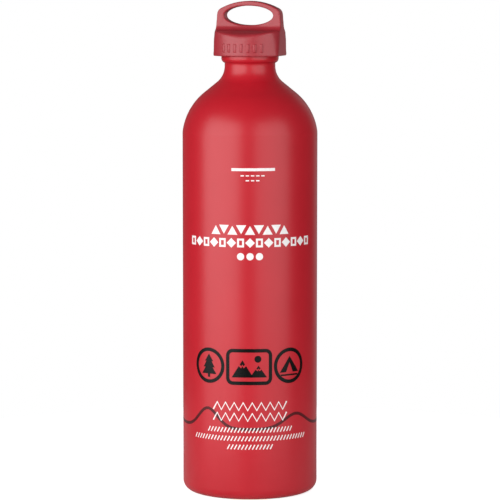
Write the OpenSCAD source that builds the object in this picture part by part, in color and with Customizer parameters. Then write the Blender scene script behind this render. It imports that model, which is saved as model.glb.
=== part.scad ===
// Camping fuel bottle: one-piece aluminium bottle with a press-and-turn loop cap.
// Millimetres, +Z up the bottle's axis, origin at the centre of the standing ring.
// The front of the bottle, where it is printed, faces -Y.

/* [Bottle] */
// Outside diameter of the barrel
body_d = 90; // [76:1:110]
// Height at which the straight barrel ends and the shoulder starts
barrel_h = 241; // [120:1:320]
// Thickness of the drawn side wall
wall = 1; // [0.8:0.1:1.6]
// Thickness of the floor
floor_t = 2; // [1.8:0.1:3]
// Outside radius of the corner between floor and barrel
heel_r = 7; // [4:0.5:10]
// Width of the flat ring that the bottle stands on
standing_ring_w = 6; // [4:0.5:9]
// Height of the domed hollow under the floor
punt_h = 7; // [4:0.5:12]

/* [Shoulder and neck] */
// Radius of the soft edge between barrel and shoulder
shoulder_edge_r = 8; // [4:0.5:12]
// Angle that the soft edge turns through
shoulder_edge_turn = 8; // [4:1:14]
// Radius of the round of the shoulder
shoulder_r = 40; // [34:1:44]
// Steepest slope of the shoulder, measured from the axis
shoulder_slope = 51; // [46:1:54]
// Radius of the hollow between shoulder and neck
neck_hollow_r = 13.8; // [12:0.2:15]
// Outside diameter of the neck
neck_d = 33.8; // [33.4:0.2:35]
// Length of the straight part of the neck
neck_straight = 2; // [1:0.5:6]
// Diameter of the threaded bore of the neck
bore_d = 29; // [27:0.5:30]
// Angle at which the inside of the neck leaves the outside's hollow
bore_blend_turn = 28; // [24:1:34]
// Outside diameter of the rounded lip
lip_d = 38.2; // [37:0.2:38.6]
// Height of the lip from the groove under it to the rim
lip_h = 7.3; // [6.4:0.1:9]
// Radius of the round under the lip
lip_under_r = 3.2; // [2.8:0.2:4]
// Radius of the round on top of the lip
lip_top_r = 2.2; // [1.6:0.2:2.4]

/* [Cap, outside] */
// Angle that the closed cap stands turned from the printed front
cap_angle = 16; // [0:1:45]
// Height of the cap from the edge of its collar to the top of its loop
cap_h = 36.3; // [35:0.1:42]
// Width of the collar where it is widest, from one side to the other
collar_w = 45.2; // [44:0.2:50]
// Depth of the collar, from the front arc to the back arc
collar_d = 42.6; // [42.2:0.2:46]
// Radius of the front and back arcs, seen from above
collar_arc_r = 30; // [29:0.5:36]
// Radius of the upright corners of the collar
collar_corner_r = 6; // [4:0.5:7]
// Radius of the barrelled sides of the cap, seen from the front
side_r = 160; // [120:5:300]
// Radius of the curve that draws the collar's corners in towards the loop
taper_r = 55; // [40:1:90]
// Height of the upright face of the collar
collar_face_h = 10.8; // [10.6:0.1:13]
// Radius of the collar's top edge
collar_edge_r = 4.4; // [2.4:0.1:5]
// Angle that the top edge turns through before the crowned ledge starts
collar_edge_turn = 68; // [56:1:72]
// Radius of the hollow between ledge and loop
loop_hollow_r = 4; // [2:0.5:6]
// Thickness of the loop
loop_t = 8.5; // [7:0.5:10]
// Radius of the arch of the loop
loop_arch_r = 40.5; // [36:0.5:60]
// Radius of the loop's corners
loop_corner_r = 5; // [3:0.5:8]
// Width of the finger hole
hole_w = 33.8; // [26:0.2:35]
// Height of the finger hole
hole_h = 12.8; // [10:0.2:13.6]
// Thickness of the loop above the finger hole
loop_rim = 3.2; // [2.6:0.1:4]

/* [Closure, inside the cap] */
// Distance that the collar reaches down over the lip
collar_drop = 2.6; // [1.6:0.2:3.4]
// Distance that the cap is pressed down to open it
press_travel = 1.7; // [1.4:0.1:1.8]
// Clearance that stays around the dogs and above the flange when pressed
press_gap = 0.3; // [0.2:0.05:0.4]
// Height of the dogs that the cap drives the plug with
dog_h = 1.7; // [1.4:0.1:1.8]
// Number of dogs on the plug and on the cap
dog_count = 12; // [6:6:18]
// Angle that one dog covers
dog_angle = 13; // [8:1:14]
// Inner radius of the crown of dogs
dog_inner_r = 14; // [12:0.5:14.5]
// Outer radius of the crown of dogs
dog_outer_r = 17.6; // [16:0.2:17.8]
// Radius of the bore of the collar
skirt_r = 19.4; // [19.35:0.05:19.6]
// Running clearance on the radius of the turning pieces
run_gap = 0.1; // [0.05:0.01:0.1]
// Gap that parts two seated faces
seat_gap = 0.05; // [0.02:0.01:0.1]

/* [Plug and seal] */
// Length of the threaded part of the plug
plug_len = 13; // [8:0.5:13]
// Thickness of the seal
seal_t = 1.5; // [1.2:0.1:2]
// Width of the seal
seal_w = 2.2; // [1.6:0.1:2.4]
// Depth of the step that the seal lies in
seal_step = 1.9; // [1.8:0.1:2.2]
// Thickness of the outer rim of the flange
flange_t = 1.7; // [1.4:0.1:2.4]
// Radius of the spring well in the plug
well_r = 9.5; // [8.8:0.1:10]
// Depth of the spring well
well_h = 6.3; // [5.8:0.1:7]
// Thickness of the web under the well
web_t = 2; // [1.5:0.1:3]
// Wall of the plug around its lower hollow
plug_wall = 2.9; // [2:0.1:4]
// Width of the vent slots across the thread
vent_w = 3; // [2:0.5:4]
// Depth of the vent slots
vent_depth = 1.2; // [0.8:0.1:1.6]

/* [Spring and rings] */
// Diameter of the spring wire
wire_d = 1; // [0.8:0.1:1.2]
// Mean radius of the spring
coil_r = 7.2; // [6.9:0.1:7.6]
// Number of open turns between the two closed end turns
open_turns = 3; // [2:1:3]
// Thickness of the slip washer under the spring
washer_t = 0.5; // [0.4:0.1:0.8]
// Width of the slip washer
washer_w = 3.6; // [3:0.1:4]
// Radius of the guide boss inside the spring
boss_r = 5.8; // [5:0.1:6]
// Thickness of the retaining ring
ring_t = 1.4; // [1:0.1:1.5]
// Depth of the retaining ring's groove in the collar
groove_depth = 0.7; // [0.5:0.1:0.8]
// Width of the retaining ring's overlap under the flange
ring_hold = 0.9; // [0.7:0.1:1]
// Width of the gap in the retaining ring
ring_split = 3; // [2:0.5:6]

/* [Hidden] */
$fn = 96;
STEP = 5;       // angle between the points of an arc
CUT = 1;        // amount by which a cutter runs past what it cuts
ON_AXIS = 0.001;    // a point nearer the axis than this lies on it
RED = "#B4202C";

body_r = body_d / 2;
bore_r = bore_d / 2;
neck_r = neck_d / 2;
lip_r = lip_d / 2;

// The shoulder is a soft edge arc, the main round, a straight run and the hollow of the neck,
// each tangent to the next
edge_c = [body_r - shoulder_edge_r, barrel_h];
round_c = edge_c + (shoulder_edge_r - shoulder_r) * dir(shoulder_edge_turn);
run_start = round_c + shoulder_r * dir(shoulder_slope);
run_len = (run_start[0] - neck_hollow_r * (1 - cos(shoulder_slope)) - neck_r)
    / sin(shoulder_slope);
hollow_c = run_start + run_len * [-sin(shoulder_slope), cos(shoulder_slope)]
    + neck_hollow_r * dir(shoulder_slope);

// Heights up the neck
lip_z = hollow_c[1] + neck_straight;
lip_under_c = [lip_r - lip_under_r,
    lip_z + sqrt(pow(lip_under_r, 2) - pow(neck_r - lip_r + lip_under_r, 2))];
rim_z = lip_z + lip_h;
bore_end = hollow_c + (neck_hollow_r + wall) * dir(180 + bore_blend_turn);
bore_end_z = bore_end[1] + bore_end[0] - bore_r;

// Domed hollow under the floor: a ball cap between the standing ring's inner edges
heel_c = [body_r - heel_r, heel_r];
ring_in_r = heel_c[0] - standing_ring_w;
punt_r = (pow(ring_in_r, 2) + pow(punt_h, 2)) / (2 * punt_h);
punt_c = [0, punt_h - punt_r];
punt_turn = asin(ring_in_r / punt_r);
dome_turn = acos((floor_t - punt_c[1]) / (punt_r + floor_t));
heel_turn = asin((heel_r - floor_t) / (heel_r - wall));

// Heights inside the cap, from the rim of the bottle up
plug_r = bore_r - run_gap;
seat_z = rim_z + seal_t + 2 * seat_gap;
flange_z = seat_z + seal_step;
flange_top = flange_z + flange_t;
flange_r = skirt_r - run_gap;
step_r = bore_r + seal_w + 2 * run_gap;
plug_z = seat_z - plug_len;
well_z = flange_top - well_h;
ring_top = flange_z - seat_gap;
groove_r = skirt_r + groove_depth;
shell_dog_z = flange_top + dog_h + press_gap;
ceiling_z = shell_dog_z + dog_h;
stop_z = flange_top + press_travel + press_gap / 2;
recess_r = dog_outer_r + press_gap;
spring_z = well_z + washer_t + 2 * seat_gap;
spring_h = ceiling_z - spring_z - seat_gap;
boss_z = spring_z + press_travel + dog_h;

// Heights and centres of the outside of the cap
cap_z = rim_z - collar_drop;
cap_top = cap_z + cap_h;
face_top = cap_z + collar_face_h;
crown_r = (collar_d / 2 - collar_edge_r * (1 - cos(collar_edge_turn)) - loop_t / 2 - loop_hollow_r)
    / cos(collar_edge_turn);
crown_c = [loop_t / 2 + loop_hollow_r,
    face_top + (collar_edge_r - crown_r) * sin(collar_edge_turn)];
loop_z = crown_c[1] + crown_r + loop_hollow_r;
side_c = [collar_w / 2 - side_r, face_top];
arch_c = [0, cap_top - loop_arch_r];
corner_c = between(side_c, side_r - loop_corner_r, arch_c, loop_arch_r - loop_corner_r);
side_turn = heading(corner_c - side_c);
corner_turn = heading(corner_c - arch_c);
arc_offset = collar_arc_r - collar_d / 2;
plan_corner_x = collar_w / 2 - collar_corner_r;
plan_corner_y = sqrt(pow(collar_arc_r - collar_corner_r, 2) - pow(plan_corner_x, 2)) - arc_offset;
plan_turn = acos(plan_corner_x / (collar_arc_r - collar_corner_r));
hole_z = cap_top - loop_rim - hole_h / 2;

// The curve that draws the collar's corners in starts halfway up the collar's face, at their
// reach, and ends at the reach of the loop's side edges
taper_c = [norm([plan_corner_x, plan_corner_y]) + collar_corner_r - taper_r,
    (cap_z + face_top) / 2];
taper_end_r = norm([collar_w, loop_t]) / 2;
taper_turn = acos((taper_end_r - taper_c[0]) / taper_r);

// A closed spring: an end turn, the open turns and an end turn, along one helix
end_pitch = wire_d + 0.05;
open_pitch = (spring_h - wire_d - 2 * end_pitch) / open_turns;
all_turns = open_turns + 2;
COIL_STEP = 20;    // angle between two rings of the wire
WIRE_SIDES = 8;

// Unit vector at an angle from the first axis
function dir(a) = [cos(a), sin(a)];

// Angle of a vector from the first axis
function heading(v) = atan2(v[1], v[0]);

// Point at distance ra from a and rb from b, on the right of the way from b to a
function between(a, ra, b, rb) =
    let (d = norm(a - b), along = (pow(d, 2) + pow(rb, 2) - pow(ra, 2)) / (2 * d),
        across = sqrt(pow(rb, 2) - pow(along, 2)))
    b + along / d * (a - b) + across / d * [a[1] - b[1], b[0] - a[0]];

// Points of an arc about c, from angle a0 to angle a1
function arc(c, r, a0, a1) =
    let (n = max(2, ceil(abs(a1 - a0) / STEP)))
    [for (i = [0 : n]) c + r * dir(a0 + (a1 - a0) * i / n)];

// The same points on the other side of the vertical axis, in reverse, without those on it
function mirrored(points) =
    [for (i = [len(points) - 1 : -1 : 0])
        if (abs(points[i][0]) > ON_AXIS) [-points[i][0], points[i][1]]];

// Height of the spring wire's centre after a number of turns
function coil_z(t) =
    t < 1 ? t * end_pitch
    : t < 1 + open_turns ? end_pitch + (t - 1) * open_pitch
    : spring_h - wire_d - (all_turns - t) * end_pitch;

// Stands a piece of the closure at the angle that the cap is turned to
module turned() {
    rotate([0, 0, -cap_angle])
        children();
}

// A crown of dogs between two heights, with the first one at angle phase
module dogs(z0, z1, phase) {
    intersection() {
        translate([0, 0, z0])
            difference() {
                cylinder(h = z1 - z0, r = dog_outer_r);
                translate([0, 0, -CUT])
                    cylinder(h = z1 - z0 + 2 * CUT, r = dog_inner_r);
            }
        for (i = [0 : dog_count - 1])
            rotate([0, 0, phase + i * 360 / dog_count])
                translate([0, 0, z0 - CUT])
                    linear_extrude(z1 - z0 + 2 * CUT)
                        polygon([[0, 0], 2 * dog_outer_r * dir(-dog_angle / 2),
                            2 * dog_outer_r * dir(dog_angle / 2)]);
    }
}

// Drawn and necked bottle in one piece: outside from the punt up to the rim, then back down
// the inside
module bottle() {
    outside = concat(
        arc(punt_c, punt_r, 90, 90 - punt_turn),
        arc(heel_c, heel_r, -90, 0),
        arc(edge_c, shoulder_edge_r, 0, shoulder_edge_turn),
        arc(round_c, shoulder_r, shoulder_edge_turn, shoulder_slope),
        arc(hollow_c, neck_hollow_r, 180 + shoulder_slope, 180),
        [[neck_r, lip_z]],
        arc(lip_under_c, lip_under_r, -acos((neck_r - lip_under_c[0]) / lip_under_r), 0),
        arc([lip_r - lip_top_r, rim_z - lip_top_r], lip_top_r, 0, 90));
    inside = concat(
        [[bore_r, rim_z], [bore_r, bore_end_z]],
        arc(hollow_c, neck_hollow_r + wall, 180 + bore_blend_turn, 180 + shoulder_slope),
        arc(round_c, shoulder_r - wall, shoulder_slope, shoulder_edge_turn),
        arc(edge_c, shoulder_edge_r - wall, shoulder_edge_turn, 0),
        arc(heel_c, heel_r - wall, 0, -heel_turn),
        arc(punt_c, punt_r + floor_t, 90 - dome_turn, 90));
    color(RED)
        rotate_extrude()
            polygon(concat(outside, inside));
}

// Threaded stopper: stepped flange with the driven dogs on top, a spring well above the web
// and a hollow below it
module threaded_plug() {
    profile = [[well_r, well_z], [well_r, flange_top], [flange_r, flange_top],
        [flange_r, flange_z], [step_r, flange_z], [step_r, seat_z], [plug_r, seat_z],
        [plug_r, plug_z], [plug_r - plug_wall, plug_z], [plug_r - plug_wall, well_z - web_t],
        [0, well_z - web_t], [0, well_z]];
    color("#26282B")
        turned()
            union() {
                difference() {
                    rotate_extrude()
                        polygon(profile);
                    for (side = [0, 180])
                        rotate([0, 0, side])
                            translate([plug_r - vent_depth, -vent_w / 2, plug_z - CUT])
                                cube([vent_depth + CUT, vent_w, plug_len - seal_t + CUT]);
                }
                dogs(flange_top - seat_gap, flange_top + dog_h, 0);
            }
}

// Flat seal with rounded edges between the rim of the bottle and the plug
module seal_ring() {
    edge = seal_t / 4;
    inner = bore_r + run_gap;
    color("#1B1B1D")
        turned()
            translate([0, 0, rim_z + seat_gap])
                rotate_extrude()
                    polygon(concat(
                        arc([inner + edge, edge], edge, 270, 180),
                        arc([inner + edge, seal_t - edge], edge, 180, 90),
                        arc([inner + seal_w - edge, seal_t - edge], edge, 90, 0),
                        arc([inner + seal_w - edge, edge], edge, 0, -90)));
}

// Washer on the floor of the well, which lets the spring slip round
module slip_washer() {
    washer_r = well_r - run_gap;
    color("#C3C6C8")
        turned()
            translate([0, 0, well_z + seat_gap])
                difference() {
                    cylinder(h = washer_t, r = washer_r);
                    translate([0, 0, -CUT])
                        cylinder(h = washer_t + 2 * CUT, r = washer_r - washer_w);
                }
}

// Coil spring that lifts the cap off the dogs: rings of wire along a helix
module return_spring() {
    rings = all_turns * 360 / COIL_STEP;
    points = [for (i = [0 : rings], k = [0 : WIRE_SIDES - 1])
        let (turn = i * COIL_STEP, around = k * 360 / WIRE_SIDES,
            out = coil_r + wire_d / 2 * cos(around))
        [out * cos(turn), out * sin(turn), coil_z(turn / 360) + wire_d / 2 * (1 + sin(around))]];
    sides = [for (i = [0 : rings - 1], k = [0 : WIRE_SIDES - 1])
        let (next = (k + 1) % WIRE_SIDES)
        [i * WIRE_SIDES + k, i * WIRE_SIDES + next,
            (i + 1) * WIRE_SIDES + next, (i + 1) * WIRE_SIDES + k]];
    first_end = [for (k = [WIRE_SIDES - 1 : -1 : 0]) k];
    last_end = [for (k = [0 : WIRE_SIDES - 1]) rings * WIRE_SIDES + k];
    color("#A9ADB0")
        turned()
            translate([0, 0, spring_z])
                polyhedron(points, concat(sides, [first_end, last_end]), convexity = 8);
}

// Split ring in the collar's groove, which holds the plug's flange in the cap
module retaining_ring() {
    color("#9DA1A4")
        turned()
            translate([0, 0, ring_top - ring_t])
                difference() {
                    cylinder(h = ring_t, r = groove_r - seat_gap);
                    translate([0, 0, -CUT])
                        cylinder(h = ring_t + 2 * CUT, r = flange_r - ring_hold);
                    translate([0, -ring_split / 2, -CUT])
                        cube([groove_r + CUT, ring_split, ring_t + 2 * CUT]);
                }
}

// Side view of the cap: upright collar face, rounded edge, crowned ledge, hollow and loop
module cap_side() {
    half = concat(
        [[collar_d / 2, cap_z]],
        arc([collar_d / 2 - collar_edge_r, face_top], collar_edge_r, 0, collar_edge_turn),
        arc(crown_c, crown_r, collar_edge_turn, 90),
        arc([loop_t / 2 + loop_hollow_r, loop_z], loop_hollow_r, 270, 180),
        [[loop_t / 2, cap_top + CUT]]);
    polygon(concat(half, mirrored(half)));
}

// Front view of the cap: barrelled sides, round corners and the arch
module cap_front() {
    half = concat(
        arc(side_c, side_r, asin((cap_z - face_top) / side_r), 0),
        arc(side_c, side_r, 0, side_turn),
        arc(corner_c, loop_corner_r, side_turn, corner_turn),
        arc(arch_c, loop_arch_r, corner_turn, 90));
    polygon(concat(half, mirrored(half)));
}

// View of the collar from above: flat sides, round corners, front and back arcs
module cap_plan() {
    half = concat(
        arc([0, arc_offset], collar_arc_r, -90, -plan_turn),
        arc([plan_corner_x, -plan_corner_y], collar_corner_r, -plan_turn, 0),
        arc([plan_corner_x, plan_corner_y], collar_corner_r, 0, plan_turn),
        arc([0, -arc_offset], collar_arc_r, plan_turn, 90));
    polygon(concat(half, mirrored(half)));
}

// The collar's corners turned about the axis: upright, then drawn in, then clear of the loop
module cap_taper() {
    profile = concat(
        [[0, cap_z - CUT], [taper_c[0] + taper_r, cap_z - CUT]],
        arc(taper_c, taper_r, 0, taper_turn),
        [[taper_end_r, cap_top + CUT], [0, cap_top + CUT]]);
    rotate_extrude()
        polygon(profile);
}

// Finger hole through the loop, an ellipse seen from the front
module finger_hole() {
    ellipse = [for (a = [0 : STEP : 360 - STEP]) [hole_w / 2 * cos(a), hole_h / 2 * sin(a)]];
    translate([0, loop_t / 2 + CUT, hole_z])
        rotate([90, 0, 0])
            linear_extrude(loop_t + 2 * CUT)
                polygon(ellipse);
}

// Moulded cap: the common part of its three views and the taper, bored from below, with the
// driving dogs and the spring's guide boss under its ceiling
module cap_shell() {
    cavity = [[0, cap_z - CUT], [skirt_r, cap_z - CUT], [skirt_r, ring_top - ring_t - seat_gap],
        [groove_r, ring_top - ring_t - seat_gap], [groove_r, ring_top], [skirt_r, ring_top],
        [skirt_r, stop_z], [recess_r, stop_z], [recess_r, ceiling_z], [boss_r, ceiling_z],
        [boss_r, boss_z], [0, boss_z]];
    color(RED)
        turned()
            union() {
                difference() {
                    intersection() {
                        translate([-collar_w, 0, 0])
                            rotate([90, 0, 90])
                                linear_extrude(2 * collar_w)
                                    cap_side();
                        translate([0, collar_d, 0])
                            rotate([90, 0, 0])
                                linear_extrude(2 * collar_d)
                                    cap_front();
                        translate([0, 0, cap_z - CUT])
                            linear_extrude(cap_h + 2 * CUT)
                                cap_plan();
                        cap_taper();
                    }
                    rotate_extrude()
                        polygon(cavity);
                    finger_hole();
                }
                dogs(shell_dog_z, ceiling_z + seat_gap, 180 / dog_count);
            }
}

bottle();
threaded_plug();
seal_ring();
slip_washer();
return_spring();
retaining_ring();
cap_shell();
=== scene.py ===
# %% [markdown]
# # A camping fuel bottle, dressed around its CAD frame
# The frame holds the real sizes and everything that moves. This script gives each piece the
# surface that the eye expects: a powder-coated aluminium bottle with screen print on it, and a
# moulded cap with its closure inside.

# %% Load the frame
import math

import bpy
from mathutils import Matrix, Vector


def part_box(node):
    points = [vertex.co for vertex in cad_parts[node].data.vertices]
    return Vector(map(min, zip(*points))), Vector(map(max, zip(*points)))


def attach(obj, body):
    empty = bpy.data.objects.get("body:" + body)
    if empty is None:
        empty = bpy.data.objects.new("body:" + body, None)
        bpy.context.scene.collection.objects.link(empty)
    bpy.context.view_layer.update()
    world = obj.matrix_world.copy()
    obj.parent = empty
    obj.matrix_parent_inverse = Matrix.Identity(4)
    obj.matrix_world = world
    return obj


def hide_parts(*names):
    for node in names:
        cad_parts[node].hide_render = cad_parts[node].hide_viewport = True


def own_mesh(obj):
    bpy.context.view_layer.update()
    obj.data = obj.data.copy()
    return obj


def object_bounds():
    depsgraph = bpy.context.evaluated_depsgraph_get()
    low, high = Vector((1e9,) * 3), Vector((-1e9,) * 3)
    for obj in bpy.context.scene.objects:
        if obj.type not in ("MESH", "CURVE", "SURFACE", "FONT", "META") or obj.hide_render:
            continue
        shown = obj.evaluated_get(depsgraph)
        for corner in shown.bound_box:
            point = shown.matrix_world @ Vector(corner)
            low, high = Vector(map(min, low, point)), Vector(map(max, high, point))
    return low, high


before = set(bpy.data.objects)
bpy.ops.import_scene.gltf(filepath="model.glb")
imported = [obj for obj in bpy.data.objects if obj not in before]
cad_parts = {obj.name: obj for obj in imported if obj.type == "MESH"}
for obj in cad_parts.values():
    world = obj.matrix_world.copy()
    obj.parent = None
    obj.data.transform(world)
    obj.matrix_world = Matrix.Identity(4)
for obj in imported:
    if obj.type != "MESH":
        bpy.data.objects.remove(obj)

CAD_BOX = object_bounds()
MM = 0.001
print("frame:", sorted(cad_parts), "box in mm:", [[round(v / MM, 2) for v in c] for c in CAD_BOX])

# %% [markdown]
# ## The camera
# The photograph was taken with a long lens from well back, a little above the bottle's middle.
# The taper of the barrel in it and the sag of its rings fix distance and height, and the size of
# the picture then fixes the lens.

# %% Camera
CAMERA_AWAY = 1845      # mm from the bottle's axis to the camera
CAMERA_UP = 360.4       # mm from the table to the camera
AIM_UP = 162            # height on the axis that the middle of the picture shows
PICTURE = 500           # pixels across the picture
FOCAL_PIXELS = 2771     # pixels that a thing as wide as it is far away covers
SENSOR = 36             # mm

camera_data = bpy.data.cameras.new("long_lens")
camera_data.sensor_width = SENSOR
camera_data.lens = SENSOR * FOCAL_PIXELS / PICTURE
camera_data.clip_start, camera_data.clip_end = 0.05, 50
camera = bpy.data.objects.new("long_lens", camera_data)
bpy.context.scene.collection.objects.link(camera)
camera.location = (0, -CAMERA_AWAY * MM, CAMERA_UP * MM)
look_down = math.atan2(CAMERA_UP - AIM_UP, CAMERA_AWAY)
camera.rotation_euler = (math.pi / 2 - look_down, 0, 0)
bpy.context.scene.camera = camera
bpy.context.scene.view_settings.view_transform = "Standard"
print(f"camera: {camera_data.lens:.1f} mm lens, looking down {math.degrees(look_down):.2f} degrees")

# %% [markdown]
# ## Light
# The bottle shows a strong upright highlight left of the middle, a weaker one on the right, and a
# pale rim along its far sides. Two tall softboxes in front make the highlights and two dim ones
# behind make the rims. A wide box right behind the bottle brightens the ground at its foot. It is
# kept out of reflections, or both edges would turn white.

# %% Softboxes
def softbox(name, azimuth, away, middle_up, width, tall, radiance, shines=True):
    """A tall area light at an angle round the bottle, in metres and degrees. A radiance of 1 is
    as bright as a sheet that just reaches white in the picture."""
    turn = math.radians(azimuth)
    place = Vector((away * math.sin(turn), -away * math.cos(turn), middle_up))
    bpy.ops.object.light_add(type="AREA", location=place)
    lamp = bpy.context.object
    lamp.name = name
    lamp.data.shape = "RECTANGLE"
    lamp.data.size, lamp.data.size_y = width, tall
    lamp.data.energy = radiance * math.pi * width * tall
    lamp.rotation_euler = (math.pi / 2, 0, turn)
    lamp.visible_camera = False
    lamp.visible_glossy = shines


def width_over(degrees, away):
    """Width in metres of a box that covers an angle round the bottle from a distance."""
    return 2 * away * math.tan(math.radians(degrees / 2))


softbox("key_left", azimuth=-50, away=1.2, middle_up=0.48, width=width_over(68, 1.2), tall=1.26,
        radiance=3.1)
softbox("key_right", azimuth=38, away=1.25, middle_up=0.48, width=width_over(60, 1.25), tall=1.26,
        radiance=2.05)
softbox("rim_left", azimuth=-152, away=1.4, middle_up=0.35, width=width_over(24, 1.4), tall=1.2,
        radiance=0.05)
softbox("rim_right", azimuth=152, away=1.4, middle_up=0.35, width=width_over(24, 1.4), tall=1.2,
        radiance=0.3)
softbox("back_fill", azimuth=180, away=1.3, middle_up=0.35, width=1.3, tall=1.2, radiance=1.3,
        shines=False)

# %% [markdown]
# ## Nodes and colours
# Every material below is a small tree of nodes. One helper adds a node with its settings and
# links, and one function turns the sRGB hex value that a painter would pick into the linear light
# that the renderer counts in.

# %% Node helper and colour function
def linear(hex_colour):
    """An sRGB colour such as "B4202C" as linear red, green, blue and alpha."""
    channels = [int(hex_colour[i:i + 2], 16) / 255 for i in (0, 2, 4)]
    return tuple(c / 12.92 if c <= 0.04045 else ((c + 0.055) / 1.055) ** 2.4 for c in channels) + (1,)


def add(tree, kind, inputs=None, **settings):
    """A new node of a kind. An input's value may be another node's output, which is linked."""
    made = tree.nodes.new("ShaderNode" + kind)
    for name, value in settings.items():
        setattr(made, name, value)
    for socket, value in (inputs or {}).items():
        if isinstance(value, bpy.types.NodeSocket):
            tree.links.new(value, made.inputs[socket])
        else:
            made.inputs[socket].default_value = value
    return made


def empty_material(name):
    """A material whose tree is empty, and that tree."""
    material = bpy.data.materials.new(name)
    material.use_nodes = True
    material.node_tree.nodes.clear()
    return material, material.node_tree


print("red as light:", [round(c, 3) for c in linear("BE2430")])

# %% [markdown]
# ## World and floor
# The photograph has a pure white ground. Only the camera sees that white: the world that lights
# the bottle is a dim grey, as a white room would wash out the red. The floor is a pale disc that
# throws light up at the barrel. For the camera alone it glows a little as well, which brings it
# up to white and still keeps the bottle's soft shadow.

# %% World and floor
WORLD_GREY = 0.10
FLOOR_R = 0.34          # metres
FLOOR_DOWN = 0.0002     # metres below the bottle, so that no two faces share a place
PAPER = "F0F0F0"
PAPER_GLOW = 0.8        # what the paper lacks in front of the camera to be white
WHITE = (1, 1, 1, 1)

world = bpy.data.worlds.new("white_ground")
bpy.context.scene.world = world
world.use_nodes = True
tree = world.node_tree
tree.nodes.clear()
seen = add(tree, "LightPath")
grey = add(tree, "Background", {"Color": WHITE, "Strength": WORLD_GREY})
white = add(tree, "Background", {"Color": WHITE, "Strength": 1.0})
ground = add(tree, "MixShader", {0: seen.outputs["Is Camera Ray"], 1: grey.outputs[0],
                                 2: white.outputs[0]})
add(tree, "OutputWorld", {"Surface": ground.outputs[0]})

bpy.ops.mesh.primitive_circle_add(vertices=96, radius=FLOOR_R, fill_type="NGON",
                                  location=(0, 0, -FLOOR_DOWN))
floor = bpy.context.object
floor.name = "pale_floor"
paper, tree = empty_material("white_paper_floor")
seen = add(tree, "LightPath")
pale = add(tree, "BsdfDiffuse", {"Color": linear(PAPER)})
glow = add(tree, "Emission", {"Color": WHITE, "Strength": PAPER_GLOW})
lit = add(tree, "AddShader", {0: pale.outputs[0], 1: glow.outputs[0]})
shown = add(tree, "MixShader", {0: seen.outputs["Is Camera Ray"], 1: pale.outputs[0],
                                2: lit.outputs[0]})
add(tree, "OutputMaterial", {"Surface": shown.outputs[0]})
floor.data.materials.append(paper)
print("floor:", [round(v, 2) for v in floor.dimensions])

# %% [markdown]
# ## The finishes
# Every finish is built in the same way: Object coordinates in millimetres feed a noise or two,
# the noise moves the colour between two close tones and the roughness between two values, and a
# bump gives the relief its real height. Flat colours would do from afar, but the unevenness of a
# real surface is what breaks up the edges of its highlights.

# %% What all finishes share
NOISE_RANGE = {"From Min": 0.3, "From Max": 0.7}    # nearly all values of a noise lie between


def object_place(tree):
    """Object coordinates in millimetres."""
    place = add(tree, "TexCoord")
    return add(tree, "VectorMath", {0: place.outputs["Object"], "Scale": 1 / MM},
               operation="SCALE").outputs[0]


def shaded(tree, tone, tones, grain, roughness, relief, others):
    """The shader and the output. The node tone picks between two colours, and the node grain
    between two values of roughness. Others are constants of the shader."""
    colour = add(tree, "Mix", {"Factor": tone.outputs[0], "A": linear(tones[0]),
                               "B": linear(tones[1])}, data_type="RGBA")
    matt = add(tree, "MapRange", {"Value": grain.outputs[0], "To Min": roughness[0],
                                  "To Max": roughness[1], **NOISE_RANGE})
    shader = add(tree, "BsdfPrincipled", {"Base Color": colour.outputs["Result"],
                                          "Roughness": matt.outputs[0],
                                          "Normal": relief.outputs[0], **others})
    add(tree, "OutputMaterial", {"Surface": shader.outputs[0]})


print("noise values used:", NOISE_RANGE)

# %% [markdown]
# ### Powder coat on aluminium
# Powder is sprayed on dry and melted in an oven. It flows out satin rather than glossy, with a
# shallow orange peel a millimetre or so across and a finer grain on top. One bump is laid on the
# other, as their heights differ. The grain is drawn coarser than it is, or it would not show.

# %% Powder coat
PEEL, PEEL_DEPTH = 1.6, 0.02            # mm across a wave of the peel, and its height
POWDER_GRAIN, POWDER_DEPTH = 0.35, 0.006    # mm across a grain, and its height
POWDER_CLOUD = 22.0                     # mm across the clouds where the coat is thinner


def powder_coat(name, tones, roughness):
    """Baked polyester powder: satin, with orange peel."""
    material, tree = empty_material(name)
    place = object_place(tree)
    peel = add(tree, "TexNoise", {"Vector": place, "Scale": 1 / PEEL, "Detail": 1.0})
    grain = add(tree, "TexNoise", {"Vector": place, "Scale": 1 / POWDER_GRAIN})
    cloud = add(tree, "TexNoise", {"Vector": place, "Scale": 1 / POWDER_CLOUD})
    waves = add(tree, "Bump", {"Height": peel.outputs[0], "Distance": PEEL_DEPTH * MM})
    relief = add(tree, "Bump", {"Height": grain.outputs[0], "Distance": POWDER_DEPTH * MM,
                                "Normal": waves.outputs[0]})
    shaded(tree, cloud, tones, grain, roughness, relief, {"IOR": 1.5})
    return material


RED_POWDER = powder_coat("red_powder_coat_on_aluminium", ("B81322", "C01828"), (0.31, 0.38))
print("material:", RED_POWDER.name)

# %% [markdown]
# ### Bare metal
# The bottle's inside and its thread are left bare: drawn aluminium, a pale, slightly blue grey
# with fine lines along the pull. The spring is drawn stainless wire, and the washer and the
# retaining ring are stamped from smoother stainless sheet. The lines could be drawn one by one,
# but a noise that is stretched along the pull gives them at once.

# %% Bare metals
def bare_metal(name, tones, roughness, grain_size, stretch, depth):
    """A metal with a grain stretched along the way that it was drawn or rolled."""
    material, tree = empty_material(name)
    drawn = add(tree, "Mapping", {"Vector": object_place(tree), "Scale": stretch})
    grain = add(tree, "TexNoise", {"Vector": drawn.outputs[0], "Scale": 1 / grain_size,
                                   "Detail": 3.0, "Roughness": 0.6})
    relief = add(tree, "Bump", {"Height": grain.outputs[0], "Distance": depth * MM})
    shaded(tree, grain, tones, grain, roughness, relief, {"Metallic": 1.0})
    return material


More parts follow.
